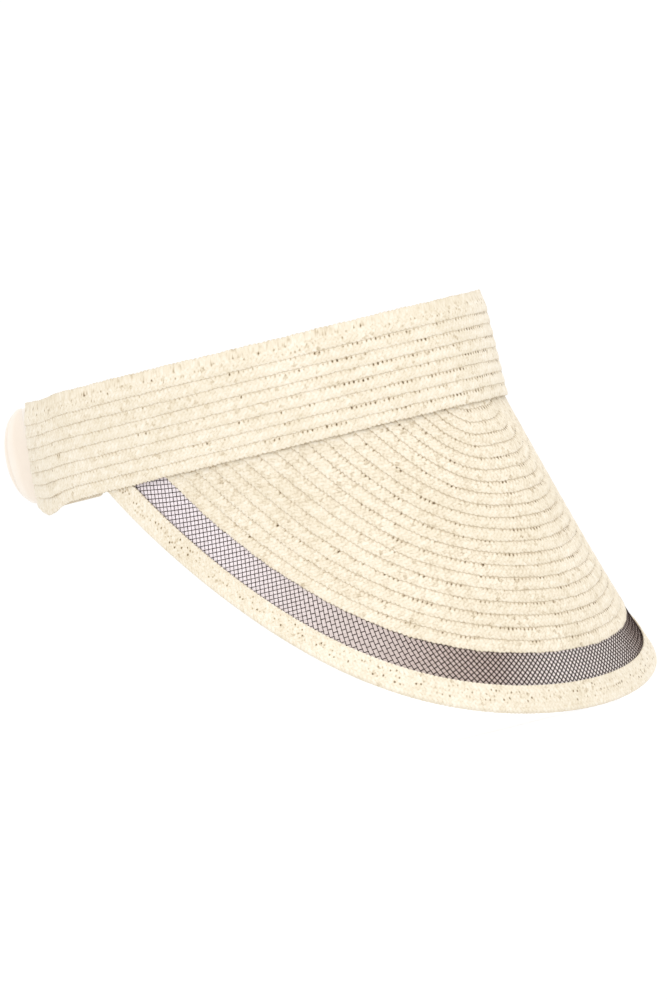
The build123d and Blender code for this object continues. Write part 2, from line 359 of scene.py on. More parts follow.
def braid(name, surface, low, high, out_low, out_high, start, end, seed, fine_back=True, cut=None,
          end_shape=None, slant=0.0, shade=0.0, seam_shadow=1.0, seam_shadow_fade=0.0, open_row=False):
    """A row of braid between two level lines of a surface, low at its lower edge. Slant is how
    far its ends lean back for each level, shade darkens it, the next two set how dark the painted
    shadow points along its seam are and how much they fade towards the sides, and an open row has
    scattered points instead."""
    section = across_points(fine_back)
    v = np.array([s[0] for s in section])
    side = np.array([s[1] for s in section])
    levels = low + (high - low) * v / BRAID_WIDTH
    angles, step = square_grid(surface, low + (high - low) * 0.3, list(levels), start, end, FINE)
    if slant:
        lean = slant * (1.0 - v / BAND_PITCH)[:, None]
        near_end = smooth((np.abs(angles) - end) / LEAN_SPAN + 1)
        angles = angles + np.sign(angles) * lean * near_end
    count = angles.shape[1]
    u = np.arange(count) * step + seed * 0.37 * CELL
    vv, uu = np.meshgrid(v, u, indexing="ij")
    relief, tone = plait(uu, vv, seed)
    notch = 1 - np.abs(np.sin(pi * uu / CELL)) ** 0.6
    near_low = np.clip(1 - vv / NOTCH_WIDTH, 0, 1)
    near_high = np.clip(1 - (BRAID_WIDTH - vv) / NOTCH_WIDTH, 0, 1)
    shift = NOTCH_DEPTH * notch * (near_low - near_high)
    wave = 0.14 * MM * drift(uu, seed, 97 * MM, 31 * MM, 9 * MM)
    level = low + (high - low) * (vv + shift + wave) / BRAID_WIDTH
    base = out_low + (out_high - out_low) * vv / BRAID_WIDTH
    half = side[:, None]
    pressed = PRESS * np.exp(-vv / PRESS_WIDTH)
    lifted = LIFT_UP * np.exp(-(BRAID_WIDTH - vv) / LIFT_WIDTH) * (1 - 0.15 * (half > 0))
    thin = 1 - THINNING * np.exp(-vv / THIN_WIDTH)
    face = half * thin * (HALF_FLAT + RELIEF * relief)
    out = base - BRAID_THICKNESS / 2 + face - pressed + lifted
    points = surface(level, angles, out)
    if end_shape is not None:
        points = end_shape(points, uu - uu.min(), uu.max() - uu)
    pitch = BRAID_WIDTH / abs(high - low) if abs(high - low) > 1 else BRAID_WIDTH
    # Painted shadow under the edge of the row above: a faint line along the seam and dark points.
    seam = np.clip(1 - np.abs(vv - pitch + 0.1 * MM) / (0.45 * MM), 0, 1) * (half > 0)
    # Painted shade in the notches along both edges of the braid.
    tone = tone - 0.14 * notch * (near_low + near_high) * (half != 0)
    if open_row:
        points_there = 0.65 * specks(uu, vv, (2.6 * MM, 4.2 * MM, 5.8 * MM), seed)
    else:
        calm = 1 - seam_shadow_fade * smooth((np.abs(angles) - FADE_START) / FADE_SPAN)
        points_there = 0.03 * seam + seam_shadow * seam_shadow_teeth(uu, vv, pitch - 0.34 * MM, seed, calm)
    tone = tone - shade - points_there * (half > 0)
    tone = np.clip(np.where(half == 0, 0.5, tone), 0, 1)
    points = points.transpose(1, 0, 2).reshape(-1, 3)
    quads = closed_quads(count, len(v))
    return new_piece(name, points, quads, tone.T.ravel(), cut, cut is not None)


# ---------------------------------------------------------------- materials

# Straw colour by tone. Besides the straw's own variation, the tone holds painted shade: darker in
# the plait's hollows, in the notches at the edges and in the painted shadow points under each seam.
STRAW_RAMP = [(0.0, (0.030, 0.018, 0.008)), (0.22, (0.20, 0.135, 0.07)), (0.50, (0.60, 0.50, 0.36)),
              (0.72, (0.80, 0.716, 0.574)), (1.0, (0.90, 0.84, 0.738))]


def material(name, roughness, **inputs):
    made = bpy.data.materials.new(name)
    made.use_nodes = True
    shader = made.node_tree.nodes["Principled BSDF"]
    shader.inputs["Roughness"].default_value = roughness
    for key, value in inputs.items():
        shader.inputs[key.replace("_", " ")].default_value = value
    return made, made.node_tree, shader


def ramp(tree, source, stops):
    node = tree.nodes.new("ShaderNodeValToRGB")
    node.color_ramp.elements.remove(node.color_ramp.elements[1])
    for k, (place, colour) in enumerate(stops):
        element = node.color_ramp.elements[0] if k == 0 else node.color_ramp.elements.new(place)
        element.position = place
        element.color = (*colour, 1)
    tree.links.new(source, node.inputs["Fac"])
    return node.outputs["Color"]


def noise(tree, scale, detail):
    place = tree.nodes.new("ShaderNodeTexCoord")
    node = tree.nodes.new("ShaderNodeTexNoise")
    node.inputs["Scale"].default_value = scale
    node.inputs["Detail"].default_value = detail
    node.inputs["Roughness"].default_value = 0.5
    tree.links.new(place.outputs["Object"], node.inputs["Vector"])
    return node.outputs["Fac"]


def multiply(tree, a, b):
    node = tree.nodes.new("ShaderNodeMix")
    node.data_type = "RGBA"
    node.blend_type = "MULTIPLY"
    node.inputs[0].default_value = 1.0
    tree.links.new(a, node.inputs[6])
    tree.links.new(b, node.inputs[7])
    return node.outputs[2]


def bump(tree, shader, height, strength, distance):
    node = tree.nodes.new("ShaderNodeBump")
    node.inputs["Strength"].default_value = strength
    node.inputs["Distance"].default_value = distance
    tree.links.new(height, node.inputs["Height"])
    tree.links.new(node.outputs["Normal"], shader.inputs["Normal"])


def straw_material():
    made, tree, shader = material("straw_braid", 0.62, Specular_IOR_Level=0.32, Sheen_Weight=0.08)
    tone = tree.nodes.new("ShaderNodeAttribute")
    tone.attribute_name = "tone"
    colour = ramp(tree, tone.outputs["Fac"], STRAW_RAMP)
    patch = ramp(tree, noise(tree, 55, 2), [(0.3, (0.94, 0.93, 0.90)), (0.7, (1, 1, 1))])
    colour = multiply(tree, colour, patch)
    fibre = noise(tree, 2600, 2)
    grain = ramp(tree, fibre, [(0.3, (0.95, 0.94, 0.91)), (0.65, (1, 1, 1))])
    colour = multiply(tree, colour, grain)
    tree.links.new(colour, shader.inputs["Base Color"])
    bump(tree, shader, fibre, 0.25, 0.05 * MM)
    return made


straw = straw_material()


# ---------------------------------------------------------------- the straw pieces

# Near its ends the headband's top row dips. Its lower rows sag there, and then lift again.
TOP_DIP, TOP_LENGTH, TOP_SPAN = 1.05 * MM, 36 * MM, 20 * MM
SAG, SAG_PLACE, SAG_SPREAD = 3.4 * MM, 24 * MM, 14 * MM
LIFT, LIFT_LENGTH = 0.6 * MM, 22 * MM
RIM_FOLD = 1.3 * MM             # gap between the rim braid's two layers
RIM_REAR = 0.42                 # how far up its rear layer reaches, of the front's height
RIM_FRONT = 9.8 * MM            # height of its front layer

for row in range(1, BAND_ROWS + 1):
    share = (row - 1) / (BAND_ROWS - 1)
    end = BAND_END_TOP + share * (BAND_END_BOTTOM - BAND_END_TOP)
    low = float(row - BAND_ROWS)
    rise = BRAID_WIDTH / BAND_PITCH

    def end_shape(points, from_start, from_end, share=share):
        near = np.minimum(from_start, from_end)
        dip = TOP_DIP * (1 - share) * smooth((TOP_LENGTH - near) / TOP_SPAN)
        sag = SAG * share**5 * np.exp(-((near - SAG_PLACE) / SAG_SPREAD) ** 2)
        lift = LIFT * share**5 * smooth(1 - near / LIFT_LENGTH)
        points = points.copy()
        points[..., 2] += lift - dip - sag
        return points

    piece = braid(f"band_braid_{row}", band_surface, low, low - rise, 0.0, -rise * LAP_STEP,
                  -end, end, row, fine_back=row in (1, 2, BAND_ROWS), end_shape=end_shape,
                  slant=(BAND_END_BOTTOM - BAND_END_TOP) / (BAND_ROWS - 1), seam_shadow_fade=0.62,
                  open_row=row == 1)
    finish_piece(piece, straw, "straw", "visor", f"band_row_{row}")

for row in range(1, BRIM_ROWS + 1):
    reach = float(depth_and_reach(np.array(float(row)))[1] + RUN_ON)
    high = row - BRAID_WIDTH / DEPTH_STEP if row > 2 else 0.0
    piece = braid(f"brim_braid_{row:02d}", brim_surface, float(row), high, 0.0,
                  (high - row) * LAP_STEP, -reach, reach, row + 8, cut=CUT, shade=0.06, seam_shadow=0.75,
                  seam_shadow_fade=0.55)
    finish_piece(piece, straw, "straw", "visor", f"brim_row_{row:02d}")


def rim_frame(angles):
    """Points on the brim's outer edge, with the directions out of the wall and past the edge."""
    level, zero = np.full_like(angles, float(EDGE_ROW)), np.zeros_like(angles)
    here = brim_surface(level, angles, zero)
    along = brim_surface(level, angles + NUDGE, zero) - brim_surface(level, angles - NUDGE, zero)
    normal = (brim_surface(level, angles, zero + MM) - here) / MM
    down = np.cross(normal, along)
    down /= np.linalg.norm(down, axis=-1, keepdims=True)
    down *= np.where(down[..., 2:3] > 0, -1.0, 1.0)
    return here, normal, down


def rim_section(angles, grid_angles, grid_levels, steps, out):
    """Points of the rim's folded wall. Steps go from 0 to 1 down the front, 1 to 2 round the
    fold and from 2 up the rear. Out is the distance from the middle of the wall's thickness."""
    here, normal, down = rim_frame(angles)
    middle = BRAID_THICKNESS / 2
    radius = RIM_FOLD / 2 + middle
    result = np.zeros((len(steps), len(angles), 3))
    for k, (t, o) in enumerate(zip(steps, out)):
        if 1 < t < 2:
            turn = pi * (t - 1)
            across = (radius + o) * sin(turn)
            off = (radius + o) * cos(turn) - radius - middle
            result[k] = here + down * across[:, None] + normal * off[:, None]
            continue
        level = EDGE_ROW - 1 + t if t <= 1 else EDGE_ROW + 2 - t
        place = (level - grid_levels[0]) / (grid_levels[1] - grid_levels[0])
        low = min(int(place), len(grid_levels) - 2)
        part = place - low
        a = grid_angles[low] * (1 - part) + grid_angles[low + 1] * part
        off = o - middle if t <= 1 else -2 * radius - middle - o
        result[k] = brim_surface(np.full_like(angles, level), a, off)
    return result


def rim_braid():
    reach = float(depth_and_reach(np.array(float(EDGE_ROW)))[1]) + RUN_ON
    levels = np.linspace(EDGE_ROW - 1, EDGE_ROW, 9)
    grid, step = square_grid(brim_surface, float(EDGE_ROW), list(levels), -reach, reach, FINE)
    angles = grid[-1]
    steps = np.concatenate([np.linspace(0, 1, 27), np.linspace(1, 2, 11)[1:],
                            np.linspace(2, 2 + RIM_REAR, 12)[1:]])
    fold = pi * (RIM_FOLD / 2 + BRAID_THICKNESS / 2)
    distance = np.interp(steps, [0, 1, 2, 3],
                         [0, RIM_FRONT, RIM_FRONT + fold, 2 * RIM_FRONT + fold])
    u = np.arange(len(angles)) * step
    uu, vv = np.meshgrid(u, distance)
    relief, tone = plait(uu, vv, 31)
    outer = rim_section(angles, grid, levels, steps, 0.13 * MM + RELIEF * relief)
    notch = 1 - np.abs(np.sin(pi * u / CELL)) ** 0.6
    near = np.clip(1 - distance / NOTCH_WIDTH, 0, 1)[:, None] * notch
    outer += near[..., None] * (outer[1] - outer[0])
    back_steps = [2 + RIM_REAR, 2.2, 2.0, 1.75, 1.5, 1.25, 1.0, 0.7, 0.35, 0.0]
    thin = np.full((len(back_steps), len(angles)), -0.30 * MM)
    inner = rim_section(angles, grid, levels, back_steps, thin)
    points = np.concatenate([outer, inner])
    # Painted shade in the notches along the lower edge, and dark specks.
    tone = tone - 0.2 * near - 0.75 * specks(uu, vv, (2.8 * MM, 4.4 * MM, 5.6 * MM, 6.8 * MM), 40)
    tones = np.concatenate([tone, np.full(thin.shape, 0.6)])
    quads = tube_quads(len(angles), len(points))
    flat = points.transpose(1, 0, 2).reshape(-1, 3)
    return new_piece("rim_plait", flat, quads, np.clip(tones, 0, 1).T.ravel(), CUT, True)


finish_piece(rim_braid(), straw, "straw", "visor", "rim_braid")


# ---------------------------------------------------------------- the net

# Painted shade in the net's open cells, for what shows through the net: colours from y = 0 at the
# sides of the brim forward to the front.
NET_SHADE_RAMP = [(0.0, (0.92, 0.84, 0.87)), (0.16, (0.92, 0.84, 0.86)), (0.48, (0.74, 0.64, 0.61)),
               (0.72, (0.58, 0.47, 0.42)), (0.79, (0.56, 0.45, 0.40)), (0.85, (0.86, 0.79, 0.76))]
# How far in the net lies, the spacing and half thickness of its threads, how far they weave
# over and under the sheet of painted shade, and how much thicker they are in front.
NET_OUT, NET_PITCH, NET_THREAD = -1.14 * MM, 1.7 * MM, 0.165 * MM
NET_LIFT, NET_FRONT = 0.125 * MM, 0.50
# Degrees from the front, each with its blend: the sides start, the second layer starts to weave,
# and the threads are back to their plain thickness.
SIDES, SIDES_BLEND, WEAVE, WEAVE_BLEND, THICK, THICK_BLEND = 60, 8, 16, 14, 48, 26
NET_GRID = 1.0 * MM             # step of the grid that the net is laid out on
NET_MIDDLE = 10                 # the grid's line near the middle of the strip
NET_SHADE_HALF = 0.03 * MM
NET_SHADE_FRONT = -140 * MM        # the painted shade runs from y = 0 forward to here


def round_section(radius, sides):
    turns = 2 * pi * np.arange(sides) / sides
    return radius * np.stack([np.cos(turns), np.sin(turns)], -1)


def thread_mesh(lines, outward, section, name, cut=None, size=1.0):
    """One mesh of threads. Lines and outward (threads, points, 3) are the points and their outward
    directions, section the thread's outline, across and outwards, and size scales it."""
    size = np.broadcast_to(size, lines.shape[:2])
    along = np.gradient(lines, axis=1)
    along /= np.linalg.norm(along, axis=-1, keepdims=True)
    across = np.cross(along, outward)
    across /= np.linalg.norm(across, axis=-1, keepdims=True)
    outward = np.cross(across, along)
    section = section * size[:, :, None, None]
    points = (lines[:, :, None] + section[..., :1] * across[:, :, None]
              + section[..., 1:] * outward[:, :, None])
    threads, count = lines.shape[:2]
    ring = section.shape[2]
    quads = tube_quads(count, ring)
    quads = (quads[None] + (np.arange(threads) * count * ring)[:, None, None]).reshape(-1, 4)
    return new_piece(name, points.reshape(-1, 3), quads, cut=cut)


def net_strip(first, last):
    """Levels and a square grid of angles over the strip between the straw and the rim."""
    levels = np.concatenate([np.linspace(first, BRIM_ROWS, 5)[:-1],
                             np.linspace(BRIM_ROWS, EDGE_ROW - 1, 13),
                             np.linspace(EDGE_ROW - 1, last, 4)[1:]])
    reach = float(depth_and_reach(np.array(last))[1]) + RUN_ON
    middle = levels[NET_MIDDLE]
    return levels, *square_grid(brim_surface, middle, list(levels), -reach, reach, NET_GRID)


def net_layer(name, way):
    """The net's threads that slant one way, at 45 degrees to the strip. In some stretches they lie
    in the sheet of painted shade, and in the others they pass over and under it from cell to cell."""
    levels, grid, step = net_strip(BRIM_ROWS - 0.7, EDGE_ROW - 0.6)
    ladder = brim_surface(np.broadcast_to(levels[:, None], grid.shape), grid, np.zeros_like(grid))
    rung = np.linalg.norm(np.diff(ladder, axis=0), axis=-1)
    height = np.concatenate([np.zeros((1, grid.shape[1])), np.cumsum(rung, axis=0)])
    height -= height[NET_MIDDLE]                # distance down the strip from its middle line
    diagonal = NET_PITCH * 2**0.5
    length = (grid.shape[1] - 1) * step
    starts = np.arange(round(-24 * MM / diagonal), round((length + 24 * MM) / diagonal)) * diagonal
    v = np.arange(-14 * MM, 13 * MM, diagonal / 9)
    lines, normals, sizes = [], [], []
    for start in starts:
        u = start + way * v
        column = np.clip(u / step, 0, grid.shape[1] - 1.001)
        left = column.astype(int)
        part = column - left
        h = height[:, left] * (1 - part) + height[:, left + 1] * part
        g = grid[:, left] * (1 - part) + grid[:, left + 1] * part
        keep = (u > 0) & (u < length) & (v > h[0]) & (v < h[-1])
        if keep.sum() < 4:
            continue
        level = np.array([np.interp(x, h[:, k], levels) for k, x in enumerate(v)])
        angle = np.array([np.interp(x, h[:, k], g[:, k]) for k, x in enumerate(v)])
        from_front = np.abs(np.degrees(angle))
        at_side = smooth((from_front - SIDES) / SIDES_BLEND)
        near_front = smooth((from_front - WEAVE) / WEAVE_BLEND)
        woven = at_side if way > 0 else near_front * (1 - at_side)
        lift = NET_LIFT * (1 - 0.55 * at_side)
        away = NET_OUT + lift * woven * np.clip(3 * np.sin(2 * pi * v / diagonal), -1, 1)
        p, q = brim_surface(level, angle, away), brim_surface(level, angle, away + MM)
        size = 1 + NET_FRONT * smooth((THICK - from_front) / THICK_BLEND)
        first, last = np.flatnonzero(keep)[[0, -1]]
        if last - first + 1 < len(v):           # spread the points over the part that is kept
            whole = np.linspace(first, last, len(v))
            low = np.minimum(whole.astype(int), last - 1)
            w = (whole - low)[:, None]
            p, q = p[low] * (1 - w) + p[low + 1] * w, q[low] * (1 - w) + q[low + 1] * w
            size = size[low] * (1 - w[:, 0]) + size[low + 1] * w[:, 0]
        lines.append(p)
        normals.append(q - p)
        sizes.append(size)
    section = round_section(NET_THREAD, 5)
    return thread_mesh(np.array(lines), np.array(normals), section, name, NET_CUT, np.array(sizes))


def net_shade_sheet():
    """A thin sheet of painted shade in the net's open cells, with its width and length laid flat.
    """
    levels, grid, _ = net_strip(BRIM_ROWS - 0.5, EDGE_ROW - 0.75)
    zero = np.zeros_like(grid)
    lv = np.broadcast_to(levels[:, None], grid.shape)
    face = brim_surface(lv, grid, zero + NET_OUT + NET_SHADE_HALF)
    rear = brim_surface(lv, grid, zero + NET_OUT - NET_SHADE_HALF)
    width = np.linalg.norm(np.diff(face, axis=0), axis=-1).sum(0).max()
    length = np.linalg.norm(np.diff(face, axis=1), axis=-1).sum(1).max()
    points = np.concatenate([face, rear[::-1]])
    quads = closed_quads(points.shape[1], points.shape[0])
    flat = points.transpose(1, 0, 2).reshape(-1, 3)
    piece = new_piece("net_shade_sheet", flat, quads, cut=NET_CUT, fill=True)
    return piece, float(width), float(length)


def filament(name, colour, roughness, **inputs):
    made, tree, shader = material(name, roughness, **inputs)
    tint = ramp(tree, noise(tree, 90, 2), [(0.3, tuple(c * 0.8 for c in colour)), (0.7, colour)])
    tree.links.new(tint, shader.inputs["Base Color"])
    return made


def net_shade_material():
    """Painted shade in the net's open cells: pale at the sides of the brim, browner towards the
    front.
    """
    made, tree, shader = material("net_painted_shade", 0.55, Specular_IOR_Level=0.25, Alpha=0.8)
    place = tree.nodes.new("ShaderNodeTexCoord")
    split = tree.nodes.new("ShaderNodeSeparateXYZ")
    tree.links.new(place.outputs["Object"], split.inputs[0])
    share = tree.nodes.new("ShaderNodeMapRange")
    tree.links.new(split.outputs["Y"], share.inputs["Value"])
    limits = {"From Min": 0.0, "From Max": NET_SHADE_FRONT, "To Min": 0.0, "To Max": 1.0}
    for key, value in limits.items():
        share.inputs[key].default_value = value
    colour = ramp(tree, share.outputs["Result"], NET_SHADE_RAMP)
    patch = ramp(tree, noise(tree, 420, 3), [(0.3, (0.90, 0.89, 0.88)), (0.7, (1, 1, 1))])
    tree.links.new(multiply(tree, colour, patch), shader.inputs["Base Color"])
    bump(tree, shader, noise(tree, 2400, 1), 0.2, 0.05 * MM)
    return made


dark = filament("net_filament", (0.034, 0.018, 0.014), 0.5, Specular_IOR_Level=0.14)
finish_piece(net_layer("net", 1), dark, "mesh", "visor", "brim_mesh")
crossing = finish_piece(net_layer("net_crossing", -1), dark, "mesh", "visor")
# The net's open cells hold a thin sheet of painted shade.
shade_sheet, shade_sheet_width, shade_sheet_length = net_shade_sheet()
finish_piece(shade_sheet, net_shade_material(), "mesh", "visor")


# ---------------------------------------------------------------- back strap and sweatband

STRAP_BOTTOM, STRAP_HEIGHT, STRAP_REACH = 3.4 * MM, 35.8 * MM, 135.0
PUFF_START, PUFF_FULL = 149.2, 157.0
FLAT_THICKNESS, FLAT_INSET = 1.9 * MM, 3.7 * MM
PUFF_THICKNESS, PUFF_MIDDLE = 9.6 * MM, 2.8 * MM
ELASTIC_HEIGHT, ELASTIC_THICKNESS = 22.0 * MM, 0.9 * MM


def strap_shape(degrees_round):
    """Half the strap's thickness and how far its middle stands out of the oval, by angle."""
    from_front = np.minimum(degrees_round, 360 - degrees_round)
    puff = smooth((from_front - PUFF_START) / (PUFF_FULL - PUFF_START))
    half = (FLAT_THICKNESS + puff * (PUFF_THICKNESS - FLAT_THICKNESS)) / 2
    return half, -FLAT_INSET + puff * (PUFF_MIDDLE + FLAT_INSET), puff


def gathers(u, height, seed):
    """Soft upright folds of gathered satin, from -1 to 1."""
    bend = 1.1 * MM * np.sin(height * 95 + seed) + 0.7 * MM * np.sin(height * 210 + 2 * seed)
    u = u + bend
    folds = np.sin(2 * pi * u / (6.1 * MM) + 1.3 * np.sin(2 * pi * u / (23 * MM) + seed))
    small = np.sin(2 * pi * u / (3.3 * MM) + 2.0 * np.sin(2 * pi * u / (17 * MM) + 1.7 * seed))
    return 0.68 * folds + 0.32 * small


def strap_sleeve():
    columns, ring = 520, 72
    round_angle = np.linspace(STRAP_REACH, 360 - STRAP_REACH, columns)
    half, middle, puff = strap_shape(round_angle)
    turn = 2 * pi * (np.arange(ring) + 0.5) / ring
    t, a = np.meshgrid(turn, np.radians(round_angle))
    u = distances(wall(a[:, 0], np.zeros(columns), middle))[:, None]
    c, s = np.cos(t), np.sin(t)
    flatness = 2.2
    spread = (np.abs(c) ** flatness + np.abs(s) ** flatness) ** (-1 / flatness)
    c, s = c * spread, s * spread
    full = puff[:, None]
    from_end = np.minimum(u, u.max() - u)
    fold = gathers(u, STRAP_HEIGHT / 2 * c, 3) * smooth((from_end - 22 * MM) / (16 * MM)) * full
    drawn_in = 1.2 * MM * full * smooth((from_end - 18 * MM) / (20 * MM))
    height = STRAP_HEIGHT / 2 * c * (1 + 0.07 * full) - c**5 * (0.45 * MM * fold + drawn_in)
    crescent = 3.2 * MM * c**2 * full
    soft = 0.35 * MM * drift(u, 2, 43 * MM, 27 * MM) * full
    relief = 0.6 * MM * fold + soft - 0.2 * MM * full
    bulge = half[:, None] * s + np.sign(s) * np.abs(s) ** 0.7 * relief
    out = middle[:, None] + bulge - crescent - (0.9 * c + 0.3) * MM * full
    drop = 0.4 * MM * full
    points = wall(a, -(STRAP_BOTTOM + STRAP_HEIGHT / 2 + height - drop), out)
    # Painted shading on the satin: soft shade that wanders along the strap, and painted shade in
    # the hollows of the gathers with lighter crests.
    wandering_shade = 0.12 * drift(u, 5, 19 * MM, 11 * MM) * full
    tone = np.clip(0.62 + wandering_shade + 0.35 * fold * np.abs(s), 0, 1)
    quads = closed_quads(columns, ring)
    return new_piece("satin_sleeve", points.reshape(-1, 3), quads, tone.ravel())


def strap_elastic():
    columns = 300
    a = np.radians(np.linspace(STRAP_REACH + 0.3, 359.7 - STRAP_REACH, columns))
    middle = strap_shape(np.degrees(a))[1]
    heights = np.linspace(-0.5, 0.5, 33) * (ELASTIC_HEIGHT - 0.6 * MM)
    rib = 0.07 * MM * np.cos(2 * pi * heights / (1.37 * MM))
    half = ELASTIC_THICKNESS / 2 - 0.1 * MM
    ring_height = np.concatenate([heights, heights[::-1]])
    ring_out = np.concatenate([half + rib, -(half + rib[::-1])])
    aa, hh = np.meshgrid(a, ring_height, indexing="ij")
    out = middle[:, None] + ring_out[None]
    points = wall(aa, -(STRAP_BOTTOM + STRAP_HEIGHT / 2 + hh), out)
    quads = closed_quads(columns, len(ring_height))
    return new_piece("elastic_tape", points.reshape(-1, 3), quads)


def satin_material():
    made, tree, shader = material("satin", 0.34, Specular_IOR_Level=0.5, Sheen_Weight=0.35,
                                  Sheen_Roughness=0.35, Anisotropic=0.4)
    tone = tree.nodes.new("ShaderNodeAttribute")
    tone.attribute_name = "tone"
    # Satin colour by tone; the tone carries painted shade from the gathers and along the strap.
    colour = ramp(tree, tone.outputs["Fac"], [(0.1, (0.76, 0.64, 0.54)), (0.6, (0.84, 0.75, 0.65)),
                                              (1.0, (0.90, 0.85, 0.78))])
    patch = ramp(tree, noise(tree, 60, 2), [(0.35, (0.96, 0.95, 0.94)), (0.7, (1, 1, 1))])
    tree.links.new(multiply(tree, colour, patch), shader.inputs["Base Color"])
    bump(tree, shader, weave(tree, 2600, 5200), 0.12, 0.03 * MM)
    return made


def weave(tree, along, up):
    """A plain weave's height, 0 to 1, from waves round the oval and up it."""
    place = tree.nodes.new("ShaderNodeTexCoord")
    split = tree.nodes.new("ShaderNodeSeparateXYZ")
    tree.links.new(place.outputs["Object"], split.inputs[0])

    def math(kind, a, b=None):
        node = tree.nodes.new("ShaderNodeMath")
        node.operation = kind
        for value, socket in zip((a, b), node.inputs):
            if isinstance(value, bpy.types.NodeSocket):
                tree.links.new(value, socket)
            elif value is not None:
                socket.default_value = value
        return node.outputs[0]

    turn = math("ARCTAN2", split.outputs["X"], split.outputs["Y"])
    round_wave = math("SINE", math("MULTIPLY", turn, along * 0.085))
    up_wave = math("SINE", math("MULTIPLY", split.outputs["Z"], up))
    return math("MULTIPLY_ADD", math("MULTIPLY", round_wave, up_wave), 0.5)


def cloth_material(name, roughness, low, high, along, up, **inputs):
    made, tree, shader = material(name, roughness, **inputs)
    height = weave(tree, along, up)
    middle = tuple((a + b) / 2 for a, b in zip(low, high))
    # The colour follows the weave's height: painted shade darkens its hollows and its crests are
    # lighter.
    colour = ramp(tree, height, [(0.0, low), (0.5, middle), (0.9, high)])
    patch = ramp(tree, noise(tree, 70, 3), [(0.3, (0.93, 0.92, 0.90)), (0.7, (1, 1, 1))])
    tree.links.new(multiply(tree, colour, patch), shader.inputs["Base Color"])
    bump(tree, shader, height, 0.5, 0.1 * MM)
    return made


satin = satin_material()
elastic_cloth = cloth_material("elastic_weave", 0.7, (0.62, 0.58, 0.50), (0.86, 0.83, 0.76),
                               3600, 4600, Specular_IOR_Level=0.3)
tape_cloth = cloth_material("tape_weave", 0.85, (0.66, 0.56, 0.42), (0.90, 0.82, 0.68),
                            3000, 7800, Specular_IOR_Level=0.2, Sheen_Weight=0.15)

SWEAT_BOTTOM, SWEAT_TOP, SWEAT_DIP = 3.4 * MM, 37.0 * MM, 4.3 * MM
DIP_START, DIP_FULL = 106.0, 110.5
SWEAT_THICKNESS, SWEAT_INSET, SWEAT_REACH = 1.0 * MM, 2.7 * MM, 132.0
SEAMS, SEAM_WIDTH = (0.055, 0.945), 0.02    # places of the stitches up the tape, as shares
STITCH, STITCH_GAP, STITCH_RADIUS = 2.3 * MM, 0.9 * MM, 0.16 * MM
STITCH_INSET, STITCH_SAG = 0.72 * MM, 0.10 * MM
TACK_ANGLE, TACK_SPREAD, TACK_HEIGHT = 141.0, 0.62, 3.2 * MM
TACK_HEIGHTS, TACK_STITCHES = (8.0 * MM, 19.0 * MM, 30.0 * MM), 9
TACK_RADIUS, TACK_SAG, TACK_TILT = 0.17 * MM, 0.08 * MM, 0.16 * MM


def sweat_low(a):
    """Height of the tape's lower edge, which dips behind the brim's ends."""
    dip = smooth((np.abs(np.degrees(a)) - DIP_START) / (DIP_FULL - DIP_START))
    return SWEAT_BOTTOM - SWEAT_DIP * dip


def sweat_height(a, share):
    return sweat_low(a) + (SWEAT_TOP - sweat_low(a)) * share


def sweatband():
    """Cotton tape inside the straw: padded between its edge stitches, which draw it in."""
    columns = 900
    a = np.radians(np.linspace(-SWEAT_REACH, SWEAT_REACH, columns))
    u = distances(wall(a, np.zeros(columns), np.full(columns, -SWEAT_INSET)))
    share = np.concatenate([[0, 0.012, 0.03, 0.055, 0.08, 0.12], np.linspace(0.18, 0.82, 15),
                            [0.88, 0.92, 0.945, 0.97, 0.988, 1.0]])
    thickness = SWEAT_THICKNESS - 0.35 * MM
    stitched = sum(np.exp(-((share - seam) / SEAM_WIDTH) ** 2) for seam in SEAMS)
    aa, ss = np.meshgrid(a, share, indexing="ij")
    height = sweat_height(aa, ss)
    pucker = np.sin(2 * pi * u / (3.2 * MM))[:, None] * np.exp(-(np.minimum(ss, 1 - ss) / 0.10))
    ripple = drift(u, 6, 61 * MM, 37 * MM, 19 * MM)[:, None] * np.sin(pi * ss)
    padding = 0.30 * MM * np.sin(pi * ss) ** 0.5
    face = padding - 0.24 * MM * stitched[None] + 0.05 * MM * pucker + 0.07 * MM * ripple
    rear = -SWEAT_INSET - 0.15 * MM
    inner = rear - thickness - face * 0.6 + 0.1 * MM
    front = wall(aa, -height, np.full_like(height, rear))
    back_side = wall(aa, -height, inner)
    points = np.concatenate([front, back_side[:, ::-1]], axis=1)
    quads = closed_quads(columns, points.shape[1])
    return new_piece("sweatband_tape", points.reshape(-1, 3), quads), float(u[-1])


def stitch(angles, heights, inner_out, tilt, radius, sag):
    """One stitch on the inner side of the oval: it rises a little between its two holes. Returns
    its centre points and their outward directions."""
    p = wall(angles, -heights, np.full(3, inner_out))
    q = wall(angles, -heights, np.full(3, inner_out - MM))
    t = np.linspace(0, 1, 6)[:, None]
    start, end, outward = p[0] - tilt, p[2] + tilt, (q - p)[1]
    rise = sag * np.sin(pi * t) - radius * 0.9 * np.abs(2 * t - 1) ** 6
    return start + (end - start) * t + outward / MM * rise, np.repeat(outward[None], 6, axis=0)


def stitches(name, made, radius):
    lines, normals = zip(*made)
    return thread_mesh(np.array(lines), np.array(normals), round_section(radius, 6), name)


